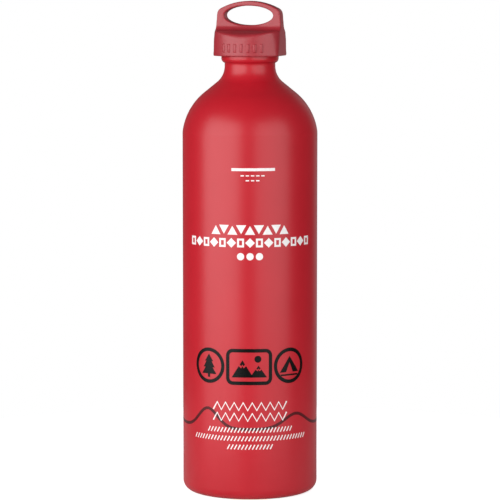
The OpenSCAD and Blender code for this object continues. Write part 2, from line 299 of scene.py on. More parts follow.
BARE_ALUMINIUM = bare_metal("drawn_bare_aluminium", ("B4B7BB", "CDD0D3"), (0.33, 0.45),
                            grain_size=0.5, stretch=(1, 1, 0.12), depth=0.01)
SPRING_WIRE = bare_metal("drawn_stainless_spring_wire", ("A9ABAD", "C6C8CA"), (0.23, 0.35),
                         grain_size=0.2, stretch=(1, 1, 1), depth=0.004)
RING_STEEL = bare_metal("stamped_stainless_sheet", ("9EA0A3", "BFC1C4"), (0.27, 0.39),
                        grain_size=0.3, stretch=(1, 1, 0.3), depth=0.005)
print("materials:", [m.name for m in (BARE_ALUMINIUM, SPRING_WIRE, RING_STEEL)])

# %% [markdown]
# ### Moulded plastics and rubber
# The cap is nylon from a spark-eroded mould, whose fine matt grain spreads the light more than
# the bottle's paint does, and its red is deeper and browner. The plug is black acetal, smoother
# and a little waxy, and the seal is a matt fuel-proof rubber. All three take the grain of their
# mould, so one function makes them. A real spark grain is about a tenth of a millimetre across,
# and is drawn coarser, or it would not show.

# %% Plastics and rubber
MOULD_CLOUD = 9.0       # mm across the faint clouds of colour


def moulded(name, tones, roughness, grain_size, depth):
    """A plastic or rubber that shows the grain of its mould."""
    material, tree = empty_material(name)
    place = object_place(tree)
    grain = add(tree, "TexNoise", {"Vector": place, "Scale": 1 / grain_size, "Detail": 3.0,
                                   "Roughness": 0.55})
    cloud = add(tree, "TexNoise", {"Vector": place, "Scale": 1 / MOULD_CLOUD})
    relief = add(tree, "Bump", {"Height": grain.outputs[0], "Distance": depth * MM})
    shaded(tree, cloud, tones, grain, roughness, relief, {"IOR": 1.53})
    return material


RED_NYLON = moulded("spark_textured_red_nylon", ("9F2731", "A72B35"), (0.33, 0.42),
                    grain_size=0.30, depth=0.018)
BLACK_ACETAL = moulded("moulded_black_acetal", ("18191B", "202224"), (0.32, 0.41),
                       grain_size=0.45, depth=0.006)
SEAL_RUBBER = moulded("fuel_proof_rubber", ("141414", "1E1E1D"), (0.58, 0.67),
                      grain_size=0.25, depth=0.010)
print("materials:", [m.name for m in (RED_NYLON, BLACK_ACETAL, SEAL_RUBBER)])

# %% [markdown]
# ### Screen-printing inks
# Ink goes on through a mesh, which leaves a barely seen mottle. The red shines faintly through
# the white, and the maroon is the thinnest: the hills look like a shadow on the red. The print
# could be a picture wrapped round the barrel, but ink has a thickness and an edge, so it is
# modelled, and each ink is a material of its own.

# %% Inks
MOTTLE, MOTTLE_DEPTH = 0.6, 0.004       # mm across a spot, and its height


def ink(name, tones, roughness, sheen=0.5):
    """A cured ink with the mottle of the screen it was pushed through."""
    material, tree = empty_material(name)
    mottle = add(tree, "TexNoise", {"Vector": object_place(tree), "Scale": 1 / MOTTLE})
    cover = add(tree, "MapRange", {"Value": mottle.outputs[0], **NOISE_RANGE})
    relief = add(tree, "Bump", {"Height": mottle.outputs[0], "Distance": MOTTLE_DEPTH * MM})
    shaded(tree, cover, tones, mottle, roughness, relief, {"IOR": 1.5, "Specular IOR Level": sheen})
    return material


WHITE_INK = ink("white_screen_ink", ("EDE6E6", "F7F5F4"), (0.38, 0.46))
BLACK_INK = ink("black_screen_ink", ("040605", "080B0A"), (0.26, 0.34), sheen=0.15)
MAROON_INK = ink("maroon_screen_ink", ("4C0910", "560C14"), (0.32, 0.40), sheen=0.3)
print("materials:", [m.name for m in (WHITE_INK, BLACK_INK, MAROON_INK)])

# %% [markdown]
# ## Helpers for modelling
# All pieces are modelled as by hand: a primitive, then edit-mode operators, then modifiers.
# Operators act on whatever is selected, so these helpers clear the selection, select one piece or
# all of its mesh, and pick points or faces by a test.

# %% Selecting
def deselect():
    """Object mode, with nothing selected."""
    if bpy.context.object and bpy.context.object.mode != "OBJECT":
        bpy.ops.object.mode_set(mode="OBJECT")
    bpy.ops.object.select_all(action="DESELECT")


def take(piece):
    """Only this piece selected, and active."""
    deselect()
    bpy.context.view_layer.objects.active = piece
    piece.select_set(True)


def named(name):
    """The object that an operator has just made, with its name."""
    made = bpy.context.object
    made.name = made.data.name = name
    return made


def take_mesh(piece):
    """Edit mode, with all of the piece's mesh selected."""
    take(piece)
    bpy.ops.object.mode_set(mode="EDIT")
    bpy.ops.mesh.select_all(action="SELECT")


def pick(piece, kind, test):
    """Edit mode, with only the points ("VERT") or faces ("FACE") selected that pass a test."""
    take(piece)
    bpy.ops.object.mode_set(mode="EDIT")
    bpy.ops.mesh.select_mode(type=kind)
    bpy.ops.mesh.select_all(action="DESELECT")
    bpy.ops.object.mode_set(mode="OBJECT")
    for part in piece.data.vertices if kind == "VERT" else piece.data.polygons:
        part.select = test(part)
    bpy.ops.object.mode_set(mode="EDIT")


print("ready: deselect, take, named, take_mesh, pick")

# %% [markdown]
# These helpers finish a piece. A modifier is added and applied at once, as the result has to be
# plain mesh. Then the object's place goes into its mesh, and the piece is shaded smooth up to an
# angle, gets its material and is fastened to the body of the frame that it moves with.

# %% Finishing
def modified(piece, kind, **settings):
    """Adds a modifier with its settings and applies it."""
    take(piece)
    modifier = piece.modifiers.new(kind.lower(), kind)
    for name, value in settings.items():
        setattr(modifier, name, value)
    bpy.ops.object.modifier_apply(modifier=modifier.name)


def settle(piece):
    """Moves the object's place, turn and scale into its mesh."""
    take(piece)
    bpy.ops.object.transform_apply(location=True, rotation=True, scale=True)
    return piece


def joined(name, pieces):
    """Several pieces as one, under a name."""
    take(pieces[0])
    for piece in pieces[1:]:
        piece.select_set(True)
    if len(pieces) > 1:
        bpy.ops.object.join()
    return named(name)


def finished(piece, material, body, smooth=30):
    """Shades, paints and fastens a finished piece, and prints its size."""
    settle(piece)
    bpy.ops.object.shade_smooth_by_angle(angle=math.radians(smooth))
    if not piece.data.materials:
        piece.data.materials.append(material)
    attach(piece, body)
    faces = sum(len(f.vertices) - 2 for f in piece.data.polygons)
    size = [round(v / MM, 2) for v in piece.dimensions]
    print(f"{piece.name}: {size} mm, {faces} triangles, on {body}")


print("ready: modified, settle, joined, finished")

# %% [markdown]
# ## Outlines
# Most pieces of a bottle and its closure are turned: one outline goes round an axis. An outline
# is a row of points, each with its distance from the axis and its height. Only corners are
# written as numbers. Round stretches are arcs, worked out from a centre and a radius as on a
# drawing.

# %% Outlines
def arc(centre, radius, start, end, step=3):
    """Points of an arc about a centre, in millimetres, between two angles in degrees."""
    count = max(2, math.ceil(abs(end - start) / step))
    angles = [math.radians(start + (end - start) * i / count) for i in range(count + 1)]
    return [(centre[0] + radius * math.cos(a), centre[1] + radius * math.sin(a)) for a in angles]


def rounded_box(inner, outer, low, high, edge):
    """The closed outline of a ring with rounded edges: distances from the axis and heights."""
    corners = [((inner + edge, low + edge), 270, 180), ((inner + edge, high - edge), 180, 90),
               ((outer - edge, high - edge), 90, 0), ((outer - edge, low + edge), 0, -90)]
    outline = [p for centre, start, end in corners for p in arc(centre, edge, start, end, 30)]
    return outline + outline[:1]


print("arc test:", [tuple(round(v, 2) for v in p) for p in arc((0, 0), 10, 0, 90, 45)])

# %% [markdown]
# ## Turning
# In edit mode a plane is merged to one point, the point is extruded along the outline, and the
# spin operator sweeps the outline round, clockwise seen from above. The doubles where it meets
# itself are merged and the normals made to face outwards. The Screw modifier could sweep it too,
# and does so for the thread below, because that climbs.

# %% Turning
MERGE = 0.0005 * MM     # points closer than this become one


def drawn_line(name, outline):
    """A row of points joined by edges, in the plane y = 0, left selected in edit mode."""
    deselect()
    bpy.ops.mesh.primitive_plane_add(size=MM)
    piece = named(name)
    bpy.ops.object.mode_set(mode="EDIT")
    bpy.ops.mesh.select_mode(type="VERT")
    bpy.ops.mesh.select_all(action="SELECT")
    bpy.ops.mesh.merge(type="CENTER")
    bpy.ops.transform.translate(value=(outline[0][0] * MM, 0, outline[0][1] * MM))
    for here, there in zip(outline, outline[1:]):
        step = ((there[0] - here[0]) * MM, 0, (there[1] - here[1]) * MM)
        bpy.ops.mesh.extrude_vertices_move(TRANSFORM_OT_translate={"value": step})
    bpy.ops.mesh.select_all(action="SELECT")
    return piece


def closed_up(piece, open_ends):
    """Merges doubles, fills the ends where they are open, and makes the faces point outwards."""
    take_mesh(piece)
    bpy.ops.mesh.remove_doubles(threshold=MERGE)
    if open_ends:
        bpy.ops.mesh.fill_holes(sides=0)
    bpy.ops.mesh.select_all(action="SELECT")
    bpy.ops.mesh.normals_make_consistent(inside=False)
    bpy.ops.object.mode_set(mode="OBJECT")
    return piece


def turned(name, outline, steps=128, angle=360):
    """An outline of (distance from the axis, height) in millimetres, spun about the Z axis."""
    piece = drawn_line(name, outline)
    bpy.ops.mesh.spin(steps=steps, angle=math.radians(angle), center=(0, 0, 0), axis=(0, 0, 1))
    return closed_up(piece, open_ends=angle < 360)


def spin_about_axis(piece, degrees):
    """Turns a finished mesh about the bottle's axis, anticlockwise seen from above."""
    take(piece)
    piece.rotation_euler = (0, 0, math.radians(degrees))
    return settle(piece)


print(f"turning: points within {MERGE / MM} mm are merged")

# %% [markdown]
# ## The bottle
# The real bottle is drawn from one blank of aluminium: a domed floor, a straight barrel and a
# shoulder pressed in to a neck with a rolled lip. All of that is one outline, so it is turned.
# Its arcs are tangent to each other, because a polished tool leaves no corner. The outside is
# drawn in by the thickness of the ink, so that the printed bottle has the real diameter.

# %% Bottle sizes
BODY_R = CAD_BOX[1].x / MM
RIM_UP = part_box("bottle")[1].z / MM
INK_T = 0.05            # the thickest ink stands this proud of the powder coat
WALL_T = 1.0
FLOOR_T = 2.0
HEEL_R = 7.0            # corner between floor and barrel
RING_IN_R = 32.0        # inner edge of the flat ring that it stands on
PUNT_UP = 7.0           # height of the domed hollow
EDGE_R, EDGE_TURN = 8.0, 8              # tight bend where the shoulder starts, and its degrees
SHOULDER_R, SHOULDER_SLOPE = 40.0, 51   # dome of the shoulder, and the slope that it ends in
HOLLOW_R = 13.8         # hollow between shoulder and neck
BARREL_UP = 241.0       # where the shoulder starts
NECK_R = 16.9
LIP_R, LIP_H = 19.1, 7.3
LIP_UNDER_R, LIP_TOP_R = 3.2, 2.2
BORE_R = 14.5
BORE_BLEND = 28         # angle at which the bore meets the hollow from inside
ROUND_STEPS = 192       # flats round the bottle, too small to be seen


def along(start, distance, degrees):
    """The point at a distance from a start, along an angle."""
    turn = math.radians(degrees)
    return (start[0] + distance * math.cos(turn), start[1] + distance * math.sin(turn))


heel = (BODY_R - HEEL_R, HEEL_R)
edge = (BODY_R - EDGE_R, BARREL_UP)
crown = along(edge, EDGE_R - SHOULDER_R, EDGE_TURN)
run_start = along(crown, SHOULDER_R, SHOULDER_SLOPE)
slope = math.radians(SHOULDER_SLOPE)
run = (run_start[0] - HOLLOW_R * (1 - math.cos(slope)) - NECK_R) / math.sin(slope)
hollow = along(along(run_start, run, SHOULDER_SLOPE + 90), HOLLOW_R, SHOULDER_SLOPE)
lip_under_turn = math.acos((NECK_R - LIP_R + LIP_UNDER_R) / LIP_UNDER_R)
lip_under = (LIP_R - LIP_UNDER_R, RIM_UP - LIP_H + LIP_UNDER_R * math.sin(lip_under_turn))
punt_r = (RING_IN_R ** 2 + PUNT_UP ** 2) / (2 * PUNT_UP)
punt = (0, PUNT_UP - punt_r)
print("shoulder arcs about", [tuple(round(v, 2) for v in c) for c in (edge, crown, hollow)])

# %% [markdown]
# The sheet is equally thick nearly all over, so outside and inside share one line with two
# insets. Solidify could give the wall too, but the floor is thicker. The two are turned apart, so
# that each gets its own finish, and are then merged along the rim.

# %% Bottle outside and inside
def wall_line(inset, heel_turn, bore_turn):
    """The bottle's side from heel to neck, at an inset from the outside."""
    return (arc(heel, HEEL_R - inset, heel_turn, 0, 6)
            + arc(edge, EDGE_R - inset, 0, EDGE_TURN, 2)
            + arc(crown, SHOULDER_R - inset, EDGE_TURN, SHOULDER_SLOPE, 2)
            + arc(hollow, HOLLOW_R + inset, 180 + SHOULDER_SLOPE, bore_turn))


punt_turn = math.degrees(math.asin(RING_IN_R / punt_r))
dome_turn = math.degrees(math.acos((FLOOR_T - punt[1]) / (punt_r + FLOOR_T)))
inner_heel_turn = math.degrees(math.asin((HEEL_R - FLOOR_T) / (HEEL_R - WALL_T)))
outside = turned("bottle_body", arc(punt, punt_r, 90, 90 - punt_turn, 4)
                 + wall_line(INK_T, -90, 180)
                 + [(NECK_R - INK_T, RIM_UP - LIP_H)]
                 + arc(lip_under, LIP_UNDER_R - INK_T, -math.degrees(lip_under_turn), 0, 6)
                 + arc((LIP_R - LIP_TOP_R, RIM_UP - LIP_TOP_R), LIP_TOP_R, 0, 90, 6)
                 + [(BORE_R, RIM_UP)], ROUND_STEPS)
outside.data.materials.append(RED_POWDER)
bore_end = along(hollow, HOLLOW_R + WALL_T, 180 + BORE_BLEND)
inside = turned("bottle_inside", arc(punt, punt_r + FLOOR_T, 90, 90 - dome_turn, 4)
                + wall_line(WALL_T, -inner_heel_turn, 180 + BORE_BLEND)
                + [(BORE_R, bore_end[1] + bore_end[0] - BORE_R), (BORE_R, RIM_UP)], ROUND_STEPS)
inside.data.materials.append(BARE_ALUMINIUM)
bottle = closed_up(joined("bottle_body", [outside, inside]), open_ends=False)
finished(bottle, RED_POWDER, "bottle", smooth=40)
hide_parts("bottle")

# %% [markdown]
# ## The thread
# A coarse thread joins plug and neck: a ridge that climbs 3 mm a turn, cut in the metal and
# moulded on the plug. Here the Screw modifier takes a section with sloping sides up round the
# axis. Both ridges have the same section and stand half a turn's climb apart, so that they mesh,
# and stay meshed as the plug turns.

# %% Thread ridges
PITCH = 3.0             # mm that the thread climbs in a turn
THREAD_TURNS = 3
THREAD_STEPS = 72       # flats in each turn
RIDGE_H = 0.75
RIDGE_FOOT, RIDGE_CREST = 0.90, 0.45    # half-widths of the ridge
SUNK = 0.25                             # the ridge's foot lies this deep in its wall
NECK_THREAD_UP = 282.9                  # height at which the neck's ridge starts


def ridge(name, wall_r, outwards, up):
    """A thread ridge on a wall, pointing outwards (1) or inwards (-1), from a height up."""
    foot, crest = wall_r - outwards * SUNK, wall_r + outwards * RIDGE_H
    section = [(foot, up - RIDGE_FOOT), (wall_r, up - RIDGE_FOOT), (crest, up - RIDGE_CREST),
               (crest, up + RIDGE_CREST), (wall_r, up + RIDGE_FOOT), (foot, up + RIDGE_FOOT)]
    piece = drawn_line(name, section + section[:1])
    bpy.ops.mesh.remove_doubles(threshold=MERGE)
    modified(piece, "SCREW", axis="Z", angle=math.tau, screw_offset=PITCH * MM,
             iterations=THREAD_TURNS, steps=THREAD_STEPS, render_steps=THREAD_STEPS)
    return closed_up(piece, open_ends=True)


neck_thread = ridge("neck_thread", BORE_R, -1, NECK_THREAD_UP)
finished(neck_thread, BARE_ALUMINIUM, "bottle")

# %% [markdown]
# ## The plug
# The plug is a moulding of black acetal: a hollow stem that carries the thread, a stepped flange
# that presses the seal on the rim, and a well for the spring. Its heights come from the frame:
# from the seal under it and the washer in its well.

# %% Plug sizes
CAP_TURN = -16          # degrees that the closed cap stands turned about the axis
PLUG_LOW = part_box("threaded_plug")[0].z / MM
DOG_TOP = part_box("threaded_plug")[1].z / MM
DOG_H = 1.7
FLANGE_T = 1.7
FLANGE_TOP = DOG_TOP - DOG_H
FLANGE_LOW = FLANGE_TOP - FLANGE_T
REST_GAP = 0.05         # between a face and what rests on it
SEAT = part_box("seal_ring")[1].z / MM + REST_GAP
THREAD_FIT = 0.15       # between the ridge on the stem and the bore
STEM_R = BORE_R - THREAD_FIT - RIDGE_H
STEM_TOP_R = 14.35      # plain stretch that centres the seal
TAPER_LOW, TAPER_HIGH = 2.6, 1.8        # below the seat, where the stem widens to that stretch
STEM_IN_R = 11.5
STEP_R = 16.9
FLANGE_R = 19.3
FLANGE_EDGE = 0.7       # chamfer that clears the rounded corner inside the pressed cap
WELL_R = 9.5
WELL_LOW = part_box("slip_washer")[0].z / MM - REST_GAP
WEB_T = 2.0             # between the well and the hollow under it
print(f"plug from {PLUG_LOW:.2f} to {DOG_TOP:.2f} mm, its seat at {SEAT:.2f} mm")

# %% [markdown]
# The body is turned as the bottle is, and Bevel takes the sharpness off its edges, as a mould
# does. Boolean fuses the thread's ridge to the stem: left as a loose piece it would show a hard
# line where it sinks in. Two slots across the thread let the pressure out before the seal is
# clear, and Boolean cuts them too, with a block.

# %% Plug body and vents
SOFT = 0.25             # width of a moulded edge
SHARP = 40              # degrees above which an edge counts as sharp
VENT_SIZE = (3.0, 3.0, 13.4)            # out from the axis, across and high
VENT_OUT, VENT_UP = 14.7, 4.7           # its middle, from the axis and above the plug's end


def softened(piece, width=SOFT):
    """Takes the sharp edges off."""
    modified(piece, "BEVEL", width=width * MM, segments=2, limit_method="ANGLE",
             angle_limit=math.radians(SHARP))


def cut(piece, cutter, how="DIFFERENCE"):
    """Cuts one piece with another, which is then removed, or fuses the two."""
    modified(piece, "BOOLEAN", object=cutter, operation=how, solver="EXACT")
    bpy.data.objects.remove(cutter)


def brick(name, size, middle):
    """A block with its size and its middle in millimetres."""
    deselect()
    bpy.ops.mesh.primitive_cube_add(size=1, location=[v * MM for v in middle],
                                    scale=[v * MM for v in size])
    return settle(named(name))


plug = turned("plug_with_thread", [
    (0, WELL_LOW - WEB_T), (STEM_IN_R, WELL_LOW - WEB_T), (STEM_IN_R, PLUG_LOW), (STEM_R, PLUG_LOW),
    (STEM_R, SEAT - TAPER_LOW), (STEM_TOP_R, SEAT - TAPER_HIGH), (STEM_TOP_R, SEAT), (STEP_R, SEAT),
    (STEP_R, FLANGE_LOW), (FLANGE_R, FLANGE_LOW), (FLANGE_R, FLANGE_TOP - FLANGE_EDGE),
    (FLANGE_R - FLANGE_EDGE, FLANGE_TOP), (WELL_R, FLANGE_TOP), (WELL_R, WELL_LOW), (0, WELL_LOW)])
softened(plug)
cut(plug, ridge("plug_ridge", STEM_R, 1, NECK_THREAD_UP + PITCH / 2), "UNION")
for side in (-1, 1):
    vent = brick("vent_cutter", VENT_SIZE, (side * VENT_OUT, 0, PLUG_LOW + VENT_UP))
    cut(plug, spin_about_axis(vent, CAP_TURN))
print("plug:", len(plug.data.polygons), "faces after its vents")

# %% [markdown]
# ### Dogs
# Twelve dogs stand on the flange, and the pressed cap grips them with twelve of its own. One is
# turned through a few degrees, softened, and copied round the axis, as a maker would index the
# mould. An Array could do that too, but a loop says plainly at which angle each dog stands.

# %% Dogs of the plug
DOG_COUNT = 12
DOG_ANGLE = 13
DOG_IN_R, DOG_OUT_R = 14.0, 17.6
DOG_SUNK = 0.3          # the dog's foot lies this deep in the flange
DOG_SOFT = 0.2


def copies_round(piece, angles):
    """Copies of the piece, turned about the axis to each angle, each with its own mesh."""
    ring = []
    for i, angle in enumerate(angles):
        take(piece)
        bpy.ops.object.duplicate(linked=False)
        ring.append(spin_about_axis(named(f"{piece.name}_{i + 1}"), angle))
    bpy.data.objects.remove(piece)
    return ring


dog = turned("dog", [(DOG_IN_R, FLANGE_TOP - DOG_SUNK), (DOG_OUT_R, FLANGE_TOP - DOG_SUNK),
                     (DOG_OUT_R, DOG_TOP), (DOG_IN_R, DOG_TOP),
                     (DOG_IN_R, FLANGE_TOP - DOG_SUNK)], steps=4, angle=DOG_ANGLE)
softened(spin_about_axis(dog, DOG_ANGLE / 2), DOG_SOFT)
dog_angles = [CAP_TURN + i * 360 / DOG_COUNT for i in range(DOG_COUNT)]
plug = joined("plug_with_thread", [plug] + copies_round(dog, dog_angles))
finished(plug, BLACK_ACETAL, "plug")
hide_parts("threaded_plug")

# %% [markdown]
# ## Seal, washer and retaining ring
# These three are rings with a small section, so each is its section turned round the axis. The
# retaining ring is split, so that it can be pinched into its groove: its spin stops short of a
# full turn and its two ends are filled.

# %% Rings
SEAL_FIT, SEAL_WIDE, SEAL_EDGE = 0.1, 2.2, 0.37
WASHER_FIT, WASHER_WIDE, WASHER_EDGE = 0.1, 3.6, 0.12
RING_HOLD_R, RING_R, RING_EDGE = 18.4, 20.05, 0.2
RING_GAP = 3.0          # width of the split

seal_low, seal_high = (v.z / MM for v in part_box("seal_ring"))
seal_in_r = BORE_R + SEAL_FIT
seal = turned("flat_seal", rounded_box(seal_in_r, seal_in_r + SEAL_WIDE, seal_low, seal_high,
                                       SEAL_EDGE))
finished(seal, SEAL_RUBBER, "seal")
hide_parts("seal_ring")

washer_low, washer_high = (v.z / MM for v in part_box("slip_washer"))
washer_r = WELL_R - WASHER_FIT
washer = turned("washer_disc", rounded_box(washer_r - WASHER_WIDE, washer_r, washer_low, washer_high,
                                           WASHER_EDGE))
finished(washer, RING_STEEL, "spring_pack")
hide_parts("slip_washer")

ring_low, ring_high = (v.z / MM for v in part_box("retaining_ring"))
gap_angle = math.degrees(RING_GAP / RING_R)
split_ring = turned("split_ring", rounded_box(RING_HOLD_R, RING_R, ring_low, ring_high, RING_EDGE),
                    angle=360 - gap_angle)
spin_about_axis(split_ring, CAP_TURN - gap_angle / 2)
finished(split_ring, RING_STEEL, "cap")
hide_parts("retaining_ring")

# %% [markdown]
# ## The spring
# A compression spring has open turns between two closed ones, which lie flat. It is modelled as
# the wire is coiled: the round section is extruded a short step, turned about the axis and
# lifted, with a small lift in the end turns and a large one between. A curve with a round bevel
# could follow the coil too, but it would need its points worked out first. With no window the
# rotate operator turns clockwise, so its angle is negative.

# %% Spring
WIRE_D = 1.0
WIRE_SIDES = 14
COIL_R = 7.2
OPEN_TURNS = 3
END_GAP = 0.05          # between the wires of an end turn
STEPS_A_TURN = 24
spring_low, spring_high = (v.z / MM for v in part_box("return_spring"))
end_climb = WIRE_D + END_GAP
open_climb = (spring_high - spring_low - WIRE_D - 2 * end_climb) / OPEN_TURNS

deselect()
bpy.ops.mesh.primitive_circle_add(vertices=WIRE_SIDES, radius=WIRE_D / 2 * MM, fill_type="NGON",
                                  location=(COIL_R * MM, 0, (spring_low + WIRE_D / 2) * MM),
                                  rotation=(math.pi / 2, 0, 0))
spring = settle(named("coiled_spring"))
take_mesh(spring)
for step in range(STEPS_A_TURN * (OPEN_TURNS + 2)):
    turn = step // STEPS_A_TURN
    climb = open_climb if 1 <= turn <= OPEN_TURNS else end_climb
    bpy.ops.mesh.extrude_region_move()
    bpy.ops.transform.rotate(value=-math.tau / STEPS_A_TURN, orient_axis="Z", center_override=(0, 0, 0))
    bpy.ops.transform.translate(value=(0, 0, climb / STEPS_A_TURN * MM))
bpy.ops.mesh.select_all(action="SELECT")
bpy.ops.mesh.normals_make_consistent(inside=False)
bpy.ops.object.mode_set(mode="OBJECT")
spin_about_axis(spring, CAP_TURN)
finished(spring, SPRING_WIRE, "spring_pack", smooth=60)
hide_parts("return_spring")
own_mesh(spring)

# %% [markdown]
# ## The cap
# The cap is one moulding of nylon. Its CAD solid has the right forms but sharp edges, which a
# moulding never has. So a copy of the solid is merged and remeshed in small even cells, and
# smoothing rounds every edge by about the same amount, as the mould does. The form could also be
# modelled again from a block, but it holds the dogs and the groove, and those have to stay where
# they fit.

# %% Cap in even cells
CELL = 0.36             # mm, small against a moulded edge of about 1 mm
CELL_PASSES = 6         # take the steps of the cells off, and a little of every edge
CAD_MERGE = 0.001 * MM  # the solid's loose triangles are joined within this

take(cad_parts["cap_shell"])
bpy.ops.object.duplicate(linked=False)
cap = named("loop_cap")
for mark in list(cap.keys()):           # the frame's marks belong to the solid alone
    del cap[mark]
cap.parent = None
cap.data.materials.clear()
take_mesh(cap)
bpy.ops.mesh.remove_doubles(threshold=CAD_MERGE)
modified(cap, "REMESH", mode="VOXEL", voxel_size=CELL * MM)
modified(cap, "SMOOTH", factor=0.5, iterations=CELL_PASSES)
print("cap:", len(cap.data.vertices), "points after remeshing")

# %% [markdown]
# The dogs and the groove inside keep their form with no more than that. The skin that the hand
# holds goes into a vertex group and is smoothed further, then the ledge, where collar and loop
# flow into each other, and the collar's four corners most of all. A wide Bevel would fail here,
# where many edges meet.

# %% Cap's skin, ledge and corners
INSIDE_R = RING_R + 0.6 # all of the cap's inside lies within this of the axis
INSIDE_UP = spring_high + 1             # and below this height
SKIN_PASSES = 16
LEDGE_LOW, LEDGE_HIGH = 296.0, 307.0    # heights between which the ledge flows
LEDGE_PASSES = 30                       # for each of three bands, each a little taller
CORNER_R = 22.8         # beyond this radius lie the collar's four corners
CORNER_PASSES = 160
FOOT_UP = 294.0         # below this the collar's foot stays crisp


def smoothed_where(piece, group, iterations, test):
    """Smooths only the points that pass a test, which are kept in a vertex group."""
    pick(piece, "VERT", test)
    bpy.ops.object.vertex_group_assign_new()
    piece.vertex_groups[-1].name = group
    modified(piece, "SMOOTH", factor=0.5, iterations=iterations, vertex_group=group)
    print(f"{group}: {sum(test(v) for v in piece.data.vertices)} points smoothed {iterations} times")


smoothed_where(cap, "skin", SKIN_PASSES,
               lambda v: v.co.xy.length > INSIDE_R * MM or v.co.z > INSIDE_UP * MM)
for grown in (0, 1, 2):
    smoothed_where(cap, f"ledge_{grown}", LEDGE_PASSES, lambda v: v.co.xy.length > INSIDE_R * MM
                   and LEDGE_LOW - grown < v.co.z / MM < LEDGE_HIGH + grown)
smoothed_where(cap, "corners", CORNER_PASSES, lambda v: v.co.xy.length > CORNER_R * MM
               and FOOT_UP < v.co.z / MM < LEDGE_HIGH)
finished(cap, RED_NYLON, "cap", smooth=70)
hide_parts("cap_shell")

# %% [markdown]
# ## Grip ribs
# Low upright ribs on the front of the collar give a wet finger grip. They belong to the same
# moulding. One is a block with its edges beveled round, sunk in the collar. The row is copied
# round the bottle's axis at the radius of the collar's front face, and is then moved back to that
# face as a whole.

# %% Grip ribs
COLLAR_D = 42.6
FACE_ARC_R = 30.0       # radius of the collar's front face, seen from above
RIB_COUNT = 7
RIB_PITCH = 4.5
RIB_PROUD = 0.4
RIB_UP = 297.4
RIB_SIZE = (2.2, 1.8, 6.0)              # across, deep and high
RIB_SOFT = 0.6

rib = brick("rib", RIB_SIZE, (0, RIB_SIZE[1] / 2 - RIB_PROUD - FACE_ARC_R, RIB_UP))
softened(rib, RIB_SOFT)
rib_angle = math.degrees(RIB_PITCH / FACE_ARC_R)
rib_angles = [(i - (RIB_COUNT - 1) / 2) * rib_angle for i in range(RIB_COUNT)]
ribs = joined("grip_ribs", copies_round(rib, rib_angles))
ribs.location.y = (FACE_ARC_R - COLLAR_D / 2) * MM
spin_about_axis(settle(ribs), CAP_TURN)
finished(ribs, RED_NYLON, "cap", smooth=60)

# %% [markdown]
# ## The print
# The front is screen-printed in white, black and maroon: a bar at the highest filling level,
# bands of plain figures, three badges with outdoor motifs, a line of hills, and fine hatching.
# Every figure is drawn flat and full size in the plane y = 0, as on the printer's film: across is
# the distance round the bottle from the middle of the front, and up is height. Flat figures are
# easy to draw and to move, so they are bent only when all of one ink are ready.

# %% Flat figures
def block(across, up, width, height, turn=0):
    """A flat bar about a centre, in millimetres, turned in its plane."""
    deselect()
    bpy.ops.mesh.primitive_plane_add(size=MM, location=(across * MM, 0, up * MM),
                                     rotation=(math.pi / 2, math.radians(turn), 0))
    piece = bpy.context.object
    piece.scale = (width, height, 1)
    return settle(piece)


def disc(across, up, radius, sides=48, turn=0):
    """A flat disc, or a figure with a few equal sides and one corner on top."""
    deselect()
    bpy.ops.mesh.primitive_circle_add(vertices=sides, radius=radius * MM, fill_type="NGON",
                                      location=(across * MM, 0, up * MM),
                                      rotation=(math.pi / 2, math.radians(turn), 0))
    return settle(bpy.context.object)


def plate(outline):
    """A flat figure with any outline, given as points across and up."""
    piece = drawn_line("plate", outline)
    bpy.ops.mesh.edge_face_add()
    bpy.ops.object.mode_set(mode="OBJECT")
    return piece


print("ready: block, disc, plate")

# %% [markdown]
# Outlined figures are full ones that are inset and lose their middle. A row repeats its first
# figure by the Array modifier, because a printer's film repeats it exactly too. A free line is
# given its width by stepping to both sides of it.

# %% Frames, rows and ribbons
def frame_of(piece, stroke):
    """Only a stroke along the edge of a flat figure is left."""
    take_mesh(piece)
    bpy.ops.mesh.inset(thickness=stroke * MM)
    bpy.ops.mesh.delete(type="FACE")
    bpy.ops.object.mode_set(mode="OBJECT")
    return piece


def round_corners(piece, radius):
    """Rounds the corners of a flat figure."""
    take_mesh(piece)
    bpy.ops.mesh.bevel(offset=radius * MM, segments=6, affect="VERTICES")
    bpy.ops.object.mode_set(mode="OBJECT")
    return piece


def row_of(piece, count, pitch):
    """A row of a figure and its copies, whose middle is where the figure was."""
    modified(piece, "ARRAY", count=count, use_relative_offset=False, use_constant_offset=True,
             constant_offset_displace=(pitch * MM, 0, 0))
    piece.location.x = -(count - 1) / 2 * pitch * MM
    return settle(piece)


def ribbon(line, stroke):
    """A stroke of even width along a row of points."""
    upper, lower = [], []
    for i, (x, y) in enumerate(line):
        before, after = line[max(i - 1, 0)], line[min(i + 1, len(line) - 1)]
        dx, dy = after[0] - before[0], after[1] - before[1]
        half = stroke / 2 / math.hypot(dx, dy)
        upper.append((x - dy * half, y + dx * half))
        lower.append((x + dy * half, y - dx * half))
    return plate(upper + lower[::-1])


print("ready: frame_of, round_corners, row_of, ribbon")

# %% [markdown]
# All figures of one ink are joined and made to face the reader, cut into narrow upright strips,
# rolled on to the barrel by Simple Deform and given the thickness of the ink by Solidify.
# Shrinkwrap could press them on too, but it would stretch them at the sides, and rolling keeps
# their widths.

# %% Rolling on
STRIP_W = 1.5           # width of the strips that make a rolled figure round
SUNK_INK = 0.02         # the ink's back lies this deep in the powder coat


